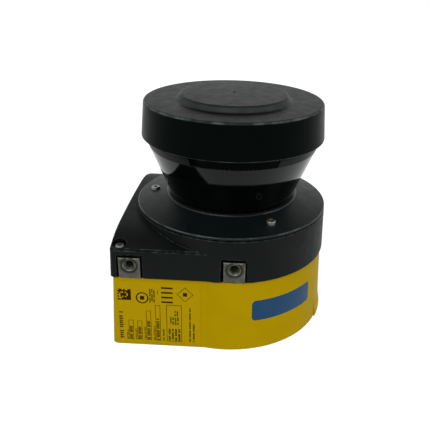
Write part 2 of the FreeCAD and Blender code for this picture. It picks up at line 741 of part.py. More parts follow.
def strip_recess():
    """Shallow recess along a stretch of the skirt, clear of the cap's lower edge."""
    slope = SKIRT_OUT / SKIRT_H
    z1 = SKIRT_Z - STRIP_EDGE
    low = WINDOW_TOP_R - STRIP_DEPTH
    groove = lathe([(low, WINDOW_Z1), (low + slope * (z1 - WINDOW_Z1), z1), (FAR, z1),
                    (FAR, WINDOW_Z1)])
    return groove.common(sector(FAR, TONGUE_R, WINDOW_Z1, z1, STRIP_MID_DEG, STRIP_HALF_DEG))


def make_cap():
    bore_r = CAP_TOP_R - CAP_WALL
    shoulder_r = WINDOW_TOP_R - WINDOW_WALL - CAP_SHOULDER_IN
    shoulder_z = TONGUE_Z + CAP_SHOULDER_T
    body = lathe([(0, CEILING_Z), (bore_r, CEILING_Z), (bore_r, shoulder_z),
                  (shoulder_r, shoulder_z),
                  (shoulder_r, TONGUE_Z), (TONGUE_R, TONGUE_Z), (TONGUE_R, WINDOW_Z1),
                  (WINDOW_TOP_R, WINDOW_Z1), (SKIRT_R, SKIRT_Z),
                  (CAP_BOTTOM_R - CAP_EDGE, SKIRT_Z), (CAP_BOTTOM_R, SKIRT_Z + CAP_EDGE),
                  (CAP_TOP_R, CAP_RIM_Z), (PLATEAU_R, CAP_RIM_Z),
                  (PLATEAU_R - PLATEAU_LEAN, TOTAL_H), (0, TOTAL_H)])
    middle = (CAP_TOP_R + PLATEAU_R) / 2
    body = body.makeFillet(CAP_RIM_FILLET, rim_edges(body, CAP_RIM_Z, middle))
    body = body.makeFillet(PLATEAU_ROUND, rim_edges(body, TOTAL_H, 0))
    foot = [e for e in rim_edges(body, CAP_RIM_Z, 0) if e.BoundBox.XMax < middle]
    body = body.makeFillet(PLATEAU_FOOT, foot)
    dimple = Part.makeSphere(DIMPLE_BALL_R,
                             V(DIMPLE_X, 0, TOTAL_H + DIMPLE_BALL_R - DIMPLE_DEPTH))
    keep("cap", body.cut(dimple).cut(strip_recess()))


def make_corner_screws():
    keep("corner_screws", *[cap_screw(x, y, CORNER_SEAT_Z, CORNER_SCREW_L)
                            for x, y in corner_screw_spots()])


def make_base():
    edge = BASE_INSET + SLIDE
    cover = tapered(edge, 0, edge, BASE_T)
    screws = []
    for x, y in base_screw_spots():
        sink = Part.makeCone(BASE_SCREW_HEAD_R, BASE_SCREW_R, BASE_SCREW_HEAD_H, V(x, y, 0))
        shank = post(BASE_SCREW_R, 0, BASE_SCREW_L, x, y)
        cover = cover.cut(sink).cut(shank)
        socket = hexagon(SCREW_HEX, -PAST, BASE_SOCKET_DEPTH, x, y)
        screws.append(sink.fuse(shank).cut(socket))
    keep("base_cover", cover)
    keep("base_screws", *screws)


def back_wall(z):
    """Where the outside of the back wall is at height z."""
    return BACK_Y - lean_at(z) - back_at(z)


def plug_shell(x, r):
    """Connector body through the back wall, with a hexagon nut outside."""
    wall_y = back_wall(PLUG_Z)
    seat_y = wall_y + PLUG_SEAT
    nut = hexagon(2 * r + PLUG_NUT_W, 0, PLUG_NUT_T)
    nut.rotate(V(0, 0, 0), RIGHT, -90)
    nut.translate(V(x, seat_y, PLUG_Z))
    outside = rod(r, wall_y - PLUG_IN, seat_y + PLUG_OUT, x, PLUG_Z).fuse(nut).cut(lower_body())
    inside = rod(r, wall_y - PLUG_IN, wall_y + PLUG_SEAT, x, PLUG_Z)
    bore = rod(r - PLUG_WALL, wall_y - PLUG_IN - PAST, FAR, x, PLUG_Z)
    return outside.fuse(inside).cut(bore).removeSplitter()


def plug_core(x, r, ways, face_y, tip_y):
    """Insulating core of a connector and its contacts."""
    tail_y = back_wall(PLUG_Z) - PLUG_IN - PIN_TAIL
    core = rod(r - PLUG_WALL, tail_y + 2 * PIN_TAIL, face_y, x, PLUG_Z)
    pins = []
    for dx, dz in ways:
        pins.append(rod(PIN_R, tail_y, tip_y, x + dx, PLUG_Z + dz))
        core = core.cut(rod(PIN_R, tail_y, FAR, x + dx, PLUG_Z + dz))
    return core, pins


def pin_ways(r, count):
    """Contact places on one circle in a connector."""
    return spots(r - PLUG_WALL - PIN_CIRCLE_IN, [360.0 / count * i for i in range(count)])


def make_connectors():
    mouth_y = back_wall(PLUG_Z) + PLUG_SEAT + PLUG_OUT
    keep("system_connector", plug_shell(SYSTEM_X, SYSTEM_R))
    tip_y = mouth_y - PIN_SINK
    core, pins = plug_core(SYSTEM_X, SYSTEM_R, pin_ways(SYSTEM_R, SYSTEM_PINS) + [(0.0, 0.0)],
                           tip_y - PIN_L, tip_y)
    keep("system_insert", core)
    keep("system_pins", *pins)
    keep("config_connector", plug_shell(CONFIG_X, CONFIG_R))
    face_y = mouth_y - SOCKET_SINK
    core, pins = plug_core(CONFIG_X, CONFIG_R, pin_ways(CONFIG_R, CONFIG_PINS), face_y,
                           face_y - CONTACT_SINK)
    keep("config_insert", core)
    keep("config_pins", *pins)


def make_carrier():
    base = ring(CARRIER_R, BARREL_R, UPPER_Z1, CARRIER_TOP_Z)
    column = sector(COLUMN_R1, COLUMN_R0, UPPER_Z1, BRIDGE_TOP_Z, 90, COLUMN_HALF_DEG)
    body = base.fuse(column).fuse(ring(BRIDGE_R, TUBE_R, BRIDGE_Z, BRIDGE_TOP_Z))
    body = body.fuse(ring(TUBE_R, SHAFT_R + SHAFT_PLAY, TUBE_Z0, TUBE_Z1))
    bearings = []
    for z in (TUBE_Z0, TUBE_Z1 - BEARING_T):
        body = body.cut(post(BEARING_R, z, z + BEARING_T))
        bearings.append(ring(BEARING_R, SHAFT_R + RUN, z, z + BEARING_T))
    screws = []
    for x, y in carrier_screw_spots():
        body = body.cut(post(SCREW_R, UPPER_Z1, CARRIER_TOP_Z, x, y))
        screws.append(cap_screw(x, y, CARRIER_TOP_Z, CARRIER_T + DECK_T))
    body = body.cut(post(CABLE_R, UPPER_Z1, BRIDGE_TOP_Z, 0, CABLE_Y))
    keep("scan_carrier", body.removeSplitter())
    keep("carrier_screws", *screws)
    keep("shaft_bearings", *bearings)


def make_motor():
    z0 = STATOR_Z0
    z1 = STATOR_Z1
    hub_r = TUBE_R + STATOR_HUB_T
    half = TOOTH_W / 2
    arm = block(TUBE_R + STATOR_HUB_T / 2, STATOR_R - SHOE_T / 2, -half, half, z0, z1)
    arm = arm.fuse(sector(STATOR_R, STATOR_R - SHOE_T, z0, z1, 0, SHOE_HALF_DEG))
    coil = block(hub_r + COIL_PLAY, STATOR_R - SHOE_T - COIL_PLAY, -COIL_W / 2, COIL_W / 2,
                 z0 - COIL_END, z1 + COIL_END)
    coil = coil.cut(block(TUBE_R, STATOR_R, -half, half, z0, z1))
    core = ring(hub_r, TUBE_R, z0, z1)
    coils = []
    for i in range(STATOR_TEETH):
        turn = 360.0 / STATOR_TEETH * i
        core = core.fuse(turned(arm, turn))
        coils.append(turned(coil, turn))
    keep("stator_core", core.removeSplitter())
    keep("stator_windings", *coils)
    cup_r = STATOR_R + MOTOR_GAP + CUP_WALL
    cup = ring(cup_r, STATOR_R + MOTOR_GAP, z0, CUP_Z)
    top = ring(cup_r, SHAFT_R, CUP_Z, CUP_Z + CUP_TOP_T)
    keep("rotor_cup", cup.fuse(top).removeSplitter())


def mirror_slab(near, far):
    """Slab square to the mirror's normal, from near to far behind its face."""
    slab = Part.makeBox(2 * TOTAL_H, 2 * TOTAL_H, far - near, V(-TOTAL_H, -TOTAL_H, near))
    slab.rotate(V(0, 0, 0), RIGHT, -45)
    slab.rotate(V(0, 0, 0), UP, 180)
    slab.translate(V(0, 0, MIRROR_Z))
    return slab


def make_rotor():
    keep("rotor_shaft", post(SHAFT_R, SHAFT_Z0, SHAFT_Z1))
    column = post(MIRROR_R, MIRROR_Z - MIRROR_R - MIRROR_END, HOLDER_TOP_Z)
    keep("scan_mirror", column.common(mirror_slab(0, MIRROR_T)))
    holder = column.common(mirror_slab(MIRROR_T, TOTAL_H))
    holder = holder.fuse(post(HUB_R, HOLDER_TOP_Z, DISC_Z))
    keep("mirror_holder", holder.cut(post(SHAFT_R, SHAFT_Z0, SHAFT_Z1)).removeSplitter())


def make_encoder():
    disc = ring(ENCODER_R, SHAFT_R, DISC_Z, DISC_Z + ENCODER_T)
    half = ENCODER_SLOT_W / 2
    slot = block(SLOT_R0, SLOT_R1, -half, half, DISC_Z, DISC_Z + ENCODER_T)
    # the slot left out marks the disc's zero
    for i in range(1, ENCODER_SLOTS):
        disc = disc.cut(turned(slot, 360.0 / ENCODER_SLOTS * i))
    keep("encoder_disc", disc)
    z = DISC_Z + ENCODER_T / 2
    half = SENSOR_W / 2
    fork = block(ENCODER_R - SENSOR_IN, ENCODER_R + SENSOR_OUT, -half, half, z - SENSOR_DROP,
                 BRIDGE_Z)
    keep("encoder_sensor", fork.cut(block(0, ENCODER_R + SENSOR_OUT - SENSOR_BACK, -SENSOR_W,
                                          SENSOR_W, z - SENSOR_GAP, z + SENSOR_GAP)))


def make_receiver():
    lens_r = BARREL_R - BARREL_WALL
    foot_z = BARREL_Z0 + BARREL_FOOT_T
    board_z = BARREL_Z0 - BOARD_T
    tube = ring(BARREL_R, lens_r, BARREL_Z0, BARREL_Z1)
    tube = tube.fuse(ring(BARREL_R, lens_r - LENS_LEDGE_W, LENS_Z - LENS_LEDGE_T, LENS_Z))
    tube = tube.fuse(ring(DETECTOR_BOARD_R, lens_r, BARREL_Z0, foot_z))
    board = post(DETECTOR_BOARD_R, board_z, BARREL_Z0)
    screws = []
    for x, y in detector_screw_spots():
        hole = post(SCREW_R, board_z, foot_z, x, y)
        tube = tube.cut(hole)
        board = board.cut(hole)
        screws.append(low_screw(x, y, board_z, BOARD_T + BARREL_FOOT_T, down=False))
    keep("lens_barrel", tube.removeSplitter())
    keep("detector_board", board)
    keep("detector_screws", *screws)
    can = post(DETECTOR_R, BARREL_Z0, BARREL_Z0 + DETECTOR_H)
    keep("detector_can", can.makeFillet(DETECTOR_EDGE, rim_edges(can, BARREL_Z0 + DETECTOR_H, 0)))
    ball_r = (lens_r ** 2 + LENS_CROWN ** 2) / (2 * LENS_CROWN)
    ball = Part.makeSphere(ball_r, V(0, 0, LENS_TOP_Z - ball_r))
    lens = post(lens_r, LENS_Z, LENS_TOP_Z).common(ball)
    keep("receiver_lens", lens.cut(post(SENDER_R, LENS_Z - PAST, LENS_TOP_Z + PAST)))


def make_sender():
    bore = SENDER_R - SENDER_WALL
    keep("sender_tube", ring(SENDER_R, bore, SENDER_Z0, SENDER_Z1))
    crown_z = SENDER_Z1 - COLLIMATOR_SINK
    ball = Part.makeSphere(COLLIMATOR_BALL_R, V(0, 0, crown_z - COLLIMATOR_BALL_R))
    keep("collimator_lens", post(bore, crown_z - COLLIMATOR_T, crown_z).common(ball))
    flange_z = SENDER_Z0 + DIODE_BASE_T
    diode = post(bore, SENDER_Z0, flange_z).fuse(post(DIODE_R, flange_z, SENDER_Z0 + DIODE_H))
    keep("laser_diode", diode.removeSplitter())


def make_monitor():
    """Ring of small emitters that looks up at the inside of the window."""
    top = CARRIER_TOP_Z + MONITOR_T
    keep("monitor_board", sector(CARRIER_R, CARRIER_R - MONITOR_W, CARRIER_TOP_Z, top, -90,
                                 MONITOR_HALF_DEG))
    half = LED_W / 2
    mid_r = CARRIER_R - MONITOR_W / 2
    led = block(mid_r - half, mid_r + half, -half, half, top, top + LED_H)
    step = 2 * LED_SPREAD_DEG / (MONITOR_LEDS - 1)
    keep("monitor_leds", *[turned(led, -90 - LED_SPREAD_DEG + step * i)
                           for i in range(MONITOR_LEDS)])


def board_blank(z):
    """Board with a round front that follows the housing, drilled for its stands."""
    rear = block(-BOARD_X, BOARD_X, 0, BOARD_Y1, z, z + BOARD_T)
    front = post(BOARD_R, z, z + BOARD_T).common(block(-BOARD_X, BOARD_X, -FAR, 0, z, z + BOARD_T))
    board = rear.fuse(front).removeSplitter()
    for x, y in stand_spots():
        board = board.cut(post(SCREW_R, z, z + BOARD_T, x, y))
    return board


def parts_on(z, table):
    """Blocks standing on a board's top at height z."""
    parts = []
    for x_share, y_share, length, width, high in table:
        x = x_share * BOARD_R
        y = y_share * BOARD_R
        parts.append(block(x - length / 2, x + length / 2, y - width / 2, y + width / 2, z,
                           z + high))
    return parts


def make_boards():
    main_top = MAIN_Z + BOARD_T
    power_top = POWER_Z + BOARD_T
    keep("main_board", board_blank(MAIN_Z))
    keep("power_board", board_blank(POWER_Z))
    keep("lower_standoffs", *[hexagon(2 * STAND_R, BASE_T, MAIN_Z, x, y)
                              for x, y in stand_spots()])
    keep("upper_standoffs", *[hexagon(2 * STAND_R, main_top, POWER_Z, x, y)
                              .fuse(post(SCREW_R, MAIN_Z, main_top, x, y))
                              for x, y in stand_spots()])
    keep("board_screws", *[low_screw(x, y, power_top, BOARD_T) for x, y in stand_spots()])
    keep("main_chips", *parts_on(main_top, MAIN_CHIPS))
    capacitors = [post(CAPACITOR_R, power_top, power_top + CAPACITOR_H, x * BOARD_R, y * BOARD_R)
                  for x, y in CAPACITOR_SPOTS]
    keep("power_parts", *capacitors, *parts_on(power_top, POWER_BLOCKS))


def make_wiring():
    main_top = MAIN_Z + BOARD_T
    power_top = POWER_Z + BOARD_T
    header_top = power_top + HEADER_H
    keep("board_link", block(-LINK_L / 2, LINK_L / 2, LINK_Y - LINK_W / 2, LINK_Y + LINK_W / 2,
                             main_top, POWER_Z))
    keep("cable_header", block(-HEADER_L / 2, HEADER_L / 2, CABLE_Y - HEADER_W / 2,
                               CABLE_Y + HEADER_W / 2, power_top, header_top))
    keep("motor_cable", post(CABLE_R, header_top, BRIDGE_TOP_Z + CABLE_OUT, 0, CABLE_Y))
    front_y = RIBBON_IN - DETECTOR_BOARD_R
    keep("signal_ribbon", block(-RIBBON_W / 2, RIBBON_W / 2, front_y, front_y + RIBBON_T,
                                power_top, BARREL_Z0 - BOARD_T))


make_lower_housing()
make_status_window()
make_side_label()
make_housing_gasket()
make_upper_housing()
make_inserts()
make_flange()
make_window_seal()
make_window()
make_cap()
make_corner_screws()
make_base()
make_connectors()
make_carrier()
make_motor()
make_rotor()
make_encoder()
make_receiver()
make_sender()
make_monitor()
make_boards()
make_wiring()

os.makedirs("parts", exist_ok=True)
for node, shape in made.items():
    shape.exportStep("parts/" + node + ".step")
    print(node, len(shape.Solids), "solids", round(shape.Volume, 1), "mm3", shape.isValid())
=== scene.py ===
import json
import math

import bpy
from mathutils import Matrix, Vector

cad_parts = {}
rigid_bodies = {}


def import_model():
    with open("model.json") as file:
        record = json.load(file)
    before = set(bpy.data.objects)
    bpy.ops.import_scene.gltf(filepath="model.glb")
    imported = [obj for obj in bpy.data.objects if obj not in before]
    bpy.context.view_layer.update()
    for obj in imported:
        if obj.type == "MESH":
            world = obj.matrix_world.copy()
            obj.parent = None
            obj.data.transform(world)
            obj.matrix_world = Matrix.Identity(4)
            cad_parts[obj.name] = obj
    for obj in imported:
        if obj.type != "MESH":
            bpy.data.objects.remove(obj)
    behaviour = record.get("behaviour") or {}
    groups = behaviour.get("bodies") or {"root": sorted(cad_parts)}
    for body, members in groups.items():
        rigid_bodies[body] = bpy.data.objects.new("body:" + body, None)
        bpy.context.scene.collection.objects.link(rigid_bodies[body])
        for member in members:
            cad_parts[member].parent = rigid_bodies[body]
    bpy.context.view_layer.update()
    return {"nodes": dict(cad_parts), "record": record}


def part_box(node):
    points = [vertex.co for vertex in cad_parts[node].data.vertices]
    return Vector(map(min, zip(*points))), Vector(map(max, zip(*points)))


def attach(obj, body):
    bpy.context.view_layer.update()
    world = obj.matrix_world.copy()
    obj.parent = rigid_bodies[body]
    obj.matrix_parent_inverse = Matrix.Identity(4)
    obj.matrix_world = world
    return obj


# Looks of the compact safety laser scanner. Metres, +Z up, front towards -Y, colours linear.

MM = 0.001
WHITE = (1.0, 1.0, 1.0, 1.0)

# Camera at the photograph's angle
CAMERA_AT = (-0.25716, -0.00990, 0.17400)
CAMERA_AZ = -87.9676
CAMERA_EL = 26.4089
CAMERA_ROLL = 1.6519
CAMERA_LENS = 44.02
CAMERA_SHIFT = (-0.03984, 0.01379)

# Housing's lean, the same as in the source
LEAN = 2.2 * MM
LEAN_H = 37.6 * MM
FRONT_R = 51.2 * MM

# Mounting inserts' holes, the same as in the source
INSERT_BACK_Y = 45.0 * MM
INSERT_FRONT_Y = -4.2 * MM
INSERT_HOLE_RISE = 6.9 * MM

# Dark ring round those holes: the radii where it starts and ends to show
STAIN_IN = (3.0 * MM, 3.3 * MM)
STAIN_OUT = (3.5 * MM, 4.8 * MM)

# Level circles lightened as painted highlights: radius, height and width in millimetres, strength,
# evenness
FLANGE_RIM = (48.75, 61.3, 0.34, 1.0, 0.25)
CAP_TOP_RIM = (43.7, 112.8, 0.7, 1.0, 0.25)
CAP_LOWER_RIM = (45.45, 96.42, 0.4, 1.0, 0.25)
CAP_DISC_RIM = (27.4, 114.4, 2.3, 0.42, 0.8)
CAP_SKIRT_RIM = (42.4, 93.6, 4.0, 0.2, 0.8)

# Recess round the cap's skirt, the same as in the source: radius and height of its edges
STRIP_LOW = (41.6 * MM, 91.7 * MM)
STRIP_HIGH = (43.2 * MM, 95.5 * MM)
STRIP_START = 155.5   # degrees
STRIP_SPAN = 55.8
STRIP_T = 0.1 * MM

# Threads
INSERT_THREAD = {"root_r": 2.12 * MM, "crest_r": 1.8 * MM, "pitch": 0.8 * MM, "length": 6.4 * MM}
INSERT_THREAD_IN = 0.9 * MM   # from the insert's face
PLUG_R = {"system": 6.0 * MM, "config": 4.4 * MM}
PLUG_THREAD_ROOT = 0.03 * MM   # below the plug's surface
PLUG_THREAD_CREST = 0.3 * MM
PLUG_THREAD_PITCH = 1.0 * MM
PLUG_THREAD_L = 5.6 * MM
PLUG_THREAD_START = 6.4 * MM   # from the plug's end

# Blue field on the front
BAND_START = -164.5   # degrees
BAND_END = -122.5
BAND_Z = 21.8 * MM
BAND_HALF_H = 5.6 * MM
BAND_CORNER = 2.0 * MM

# Prints lie this far out of the surface and reach this far into it
PRINT_OUT = 0.03 * MM
PRINT_IN = 0.08 * MM

# Label's print, in millimetres along Y and Z
LABEL_BARS = [(38.8, 40.8, 26.1, 28.1), (18.0, 20.0, 28.9, 30.9)]   # y0, y1, z0, z1
LABEL_BARS += [(24.9, 30.5, z, z + 0.9) for z in (24.8, 27.4, 30.0, 32.6)]
LABEL_RINGS = [(39.8, 27.1, 3.1, 0.6, 32), (19.0, 29.9, 4.0, 0.34, 4)]   # y, z, r, width, sides
LABEL_TICKS = [   # y0, y1, z0, z1, pitch, seed, fill
    (49.6, 51.4, 3.6, 18.8, 1.22, 0, 0.56),
    (32.0, 32.5, 29.4, 32.4, 0.8, 1, 0.6),
    (29.3, 30.1, 3.0, 10.0, 0.7, 1, 0.7),
]
LABEL_LINES = [   # y0, y1, z0, z1, count, seed
    (33.6, 36.6, 24.7, 32.4, 3, 1),
    (21.4, 27.8, 3.3, 10.2, 4, 5),
    (22.2, 26.8, 12.6, 17.0, 4, 2),
    (22.4, 24.6, 17.6, 20.6, 2, 6),
    (16.2, 17.4, 3.0, 22.4, 1, 1),
    (14.3, 15.6, 3.0, 13.8, 1, 3),
]
LABEL_TABLE = (20.7, 28.2, 2.7, 23.8, 0.24)   # y0, y1, z0, z1, width of the frame
LABEL_FIELDS = [(44.7, 14.2), (40.4, 14.0), (35.9, 20.0), (31.3, 23.4)]   # y, top
FIELD_Z = 2.9
FIELD_W = 2.3

# Square of small cells on the label
CELLS_Y = 45.2
CELLS_Z = 25.5
CELLS_ACROSS = 9
CELLS_UP = 8
CELL_PITCH = (0.72, 0.76)
CELL_SIZE = (0.74, 0.76)

# Studio
SOFT_LIGHT = 0.5
CEILING = (0.17, 0.17, 0.17, 1.0)
FLOOR_GREY = (0.36, 0.36, 0.36, 1.0)
FLOOR_GLOW = 0.8
FLOOR_REACH = 10.0
FLOOR_Z = -0.05 * MM
AIM = (0.0, 0.0, 0.06)


def clear_scene():
    for obj in list(bpy.data.objects):
        bpy.data.objects.remove(obj)


# Node helpers

def add(tree, kind, **settings):
    node = tree.nodes.new(kind)
    for key, value in settings.items():
        setattr(node, key, value)
    return node


def noise(tree, coords, scale, detail=3.0, rough=0.55):
    node = add(tree, "ShaderNodeTexNoise")
    node.inputs["Scale"].default_value = scale
    node.inputs["Detail"].default_value = detail
    node.inputs["Roughness"].default_value = rough
    tree.links.new(coords, node.inputs["Vector"])
    return node.outputs["Fac"]


def spread(tree, value, low, high, start=0.3, end=0.7):
    """Map start..end to low..high, held at both ends."""
    node = add(tree, "ShaderNodeMapRange")
    for name, number in (("From Min", start), ("From Max", end), ("To Min", low),
                         ("To Max", high)):
        node.inputs[name].default_value = number
    tree.links.new(value, node.inputs["Value"])
    return node.outputs["Result"]


def math_node(tree, operation, a, b):
    node = add(tree, "ShaderNodeMath", operation=operation, use_clamp=True)
    for socket, value in zip(node.inputs, (a, b)):
        if isinstance(value, float):
            socket.default_value = value
        else:
            tree.links.new(value, socket)
    return node.outputs["Value"]


def mix_colour(tree, factor, a, b):
    node = add(tree, "ShaderNodeMix", data_type="RGBA")
    tree.links.new(factor, node.inputs[0])
    for socket, value in ((node.inputs[6], a), (node.inputs[7], b)):
        if isinstance(value, tuple):
            socket.default_value = value
        else:
            tree.links.new(value, socket)
    return node.outputs[2]


def rgba(colour, gain=1.0):
    return tuple(min(c * gain, 1.0) for c in colour) + (1.0,)


def object_coords(tree, stretch):
    coords = add(tree, "ShaderNodeTexCoord").outputs["Object"]
    mapping = add(tree, "ShaderNodeMapping")
    mapping.inputs["Scale"].default_value = stretch
    tree.links.new(coords, mapping.inputs["Vector"])
    return mapping.outputs["Vector"]


def worn_and_highlit_edges(tree, rounding, coords, amount):
    """Rounded normal, and a mask high in patches along sharp edges: scuffs and painted highlights.
    """
    bevel = add(tree, "ShaderNodeBevel", samples=6)
    bevel.inputs["Radius"].default_value = rounding
    flat = add(tree, "ShaderNodeNewGeometry").outputs["Normal"]
    dot = add(tree, "ShaderNodeVectorMath", operation="DOT_PRODUCT")
    tree.links.new(bevel.outputs["Normal"], dot.inputs[0])
    tree.links.new(flat, dot.inputs[1])
    edge = spread(tree, dot.outputs["Value"], 0.0, 1.0, start=0.998, end=0.93)
    wear_and_highlight = spread(tree, noise(tree, coords, 420.0, detail=4.0), 0.0, amount, 0.42, 0.62)
    return bevel.outputs["Normal"], math_node(tree, "MULTIPLY", edge, wear_and_highlight)


def split_coords(tree):
    coords = add(tree, "ShaderNodeTexCoord").outputs["Object"]
    split = add(tree, "ShaderNodeSeparateXYZ")
    tree.links.new(coords, split.inputs["Vector"])
    return coords, split.outputs


def distance_from(tree, across, up, point):
    """Distance from a point in the plane that has the sockets across and up as its axes."""
    place = add(tree, "ShaderNodeCombineXYZ")
    tree.links.new(across, place.inputs["X"])
    tree.links.new(up, place.inputs["Y"])
    away = add(tree, "ShaderNodeVectorMath", operation="DISTANCE")
    away.inputs[1].default_value = (*point, 0.0)
    tree.links.new(place.outputs["Vector"], away.inputs[0])
    return away.outputs["Value"]


def painted_rim_highlight(tree, radius, height, width, strength, evenness):
    """Mask round a level circle about the scan axis: a painted highlight along a rim, in patches.
    """
    coords, split = split_coords(tree)
    flat = add(tree, "ShaderNodeVectorMath", operation="MULTIPLY")
    flat.inputs[1].default_value = (1.0, 1.0, 0.0)
    tree.links.new(coords, flat.inputs[0])
    reach = add(tree, "ShaderNodeVectorMath", operation="LENGTH")
    tree.links.new(flat.outputs["Vector"], reach.inputs[0])
    away = distance_from(tree, reach.outputs["Value"], split["Z"], (radius * MM, height * MM))
    near = spread(tree, away, 1.0, 0.0, 0.3 * width * MM, width * MM)
    patchy = spread(tree, noise(tree, coords, 150.0, detail=5.0), evenness * strength,
                    strength, 0.4, 0.6)
    return math_node(tree, "MULTIPLY", near, patchy)


def stained_holes(tree):
    """Mask of a dark ring round the inserts' holes, whose axes lie along X."""
    split = split_coords(tree)[1]
    middle = (INSERT_BACK_Y + INSERT_FRONT_Y) / 2
    across = add(tree, "ShaderNodeMath", operation="SUBTRACT")
    across.inputs[1].default_value = middle
    tree.links.new(split["Y"], across.inputs[0])
    folded = add(tree, "ShaderNodeMath", operation="ABSOLUTE")
    tree.links.new(across.outputs["Value"], folded.inputs[0])
    hole_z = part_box("mounting_inserts")[0].z + INSERT_HOLE_RISE
    away = distance_from(tree, folded.outputs["Value"], split["Z"],
                         (INSERT_BACK_Y - middle, hole_z))
    inner = spread(tree, away, 0.0, 1.0, STAIN_IN[0], STAIN_IN[1])
    outer = spread(tree, away, 0.95, 0.0, STAIN_OUT[0], STAIN_OUT[1])
    return math_node(tree, "MULTIPLY", inner, outer)


def painted_crevice_shade(tree, reach):
    """Painted shade: 0 in the open, 1 deep in a joint or hole, from ambient occlusion."""
    shade = add(tree, "ShaderNodeAmbientOcclusion", samples=6)
    shade.inputs["Distance"].default_value = reach * MM
    return spread(tree, shade.outputs["AO"], 1.0, 0.0, 0.3, 0.8)


def surface(name, colour, rough, metal=0.0, specular=0.5, mottle=0.06, cloud=70.0,
            grain=1500.0, depth=0.01, rough_play=0.05, rounding=0.25, wear_and_highlight_colour=None, wear_and_highlight_amount=0.4,
            stretch=(1.0, 1.0, 1.0), clear=0.0, ior=1.5, highlight_rims=(), painted_shade_colour=None, painted_shade_reach=2.5,
            tint=(1.0, 1.0, 1.0), stain=None):
    """Procedural material: cloudy colour, fine grain, rounded edges lightened as scuffs and as
    painted highlights, painted highlights round level circles, and painted shade in joints and
    holes.

    depth, rounding and the painted shade's reach are in millimetres, cloud and grain in waves per
    metre.
    stain is the colour of the rings round the inserts' holes."""
    material = bpy.data.materials.new(name)
    material.use_nodes = True
    tree = material.node_tree
    shader = tree.nodes["Principled BSDF"]
    coords = object_coords(tree, stretch)
    clouds = spread(tree, noise(tree, coords, cloud), 0.0, 1.0)
    body = mix_colour(tree, clouds, rgba(colour, 1 - mottle), rgba(colour, 1 + mottle))
    normal, edge = worn_and_highlit_edges(tree, rounding * MM, coords, wear_and_highlight_amount)
    # Painted highlights round the listed level circles
    for rim in highlight_rims:
        edge = math_node(tree, "MAXIMUM", edge, painted_rim_highlight(tree, *rim))
    if stain:
        body = mix_colour(tree, stained_holes(tree), body, rgba(stain))
    # Painted shade: colour and specular level darkened in joints and holes, and lightened edges
    # fade there
    if painted_shade_colour:
        shade_mask = painted_crevice_shade(tree, painted_shade_reach)
        body = mix_colour(tree, shade_mask, body, rgba(painted_shade_colour))
        shaded_specular = spread(tree, shade_mask, specular, 0.2 * specular, 0.0, 1.0)
        tree.links.new(shaded_specular, shader.inputs["Specular IOR Level"])
        edge = math_node(tree, "MULTIPLY", edge, spread(tree, shade_mask, 1.0, 0.0, 0.15, 0.5))
    # Edges lightened: scuffs, and on the black parts painted highlight lines
    wear_and_highlight = rgba(wear_and_highlight_colour) if wear_and_highlight_colour else rgba(colour, 1.6)
    body = mix_colour(tree, edge, body, wear_and_highlight)
    fine = noise(tree, coords, grain, detail=4.0, rough=0.6)
    patchy = noise(tree, coords, cloud * 3, detail=3.0)
    gloss = spread(tree, math_node(tree, "MULTIPLY", fine, patchy), rough - rough_play,
                   rough + rough_play, 0.15, 0.35)
    bump = add(tree, "ShaderNodeBump")
    bump.inputs["Strength"].default_value = 1.0
    bump.inputs["Distance"].default_value = depth * MM
    tree.links.new(fine, bump.inputs["Height"])
    tree.links.new(normal, bump.inputs["Normal"])
    shader.inputs["Base Color"].default_value = rgba(colour)
    shader.inputs["Roughness"].default_value = rough
    shader.inputs["Metallic"].default_value = metal
    shader.inputs["Specular IOR Level"].default_value = specular
    shader.inputs["Specular Tint"].default_value = rgba(tint)
    shader.inputs["Transmission Weight"].default_value = clear
    shader.inputs["IOR"].default_value = ior
    tree.links.new(body, shader.inputs["Base Color"])
    tree.links.new(gloss, shader.inputs["Roughness"])
    tree.links.new(bump.outputs["Normal"], shader.inputs["Normal"])
    material.diffuse_color = rgba(colour)
    return material


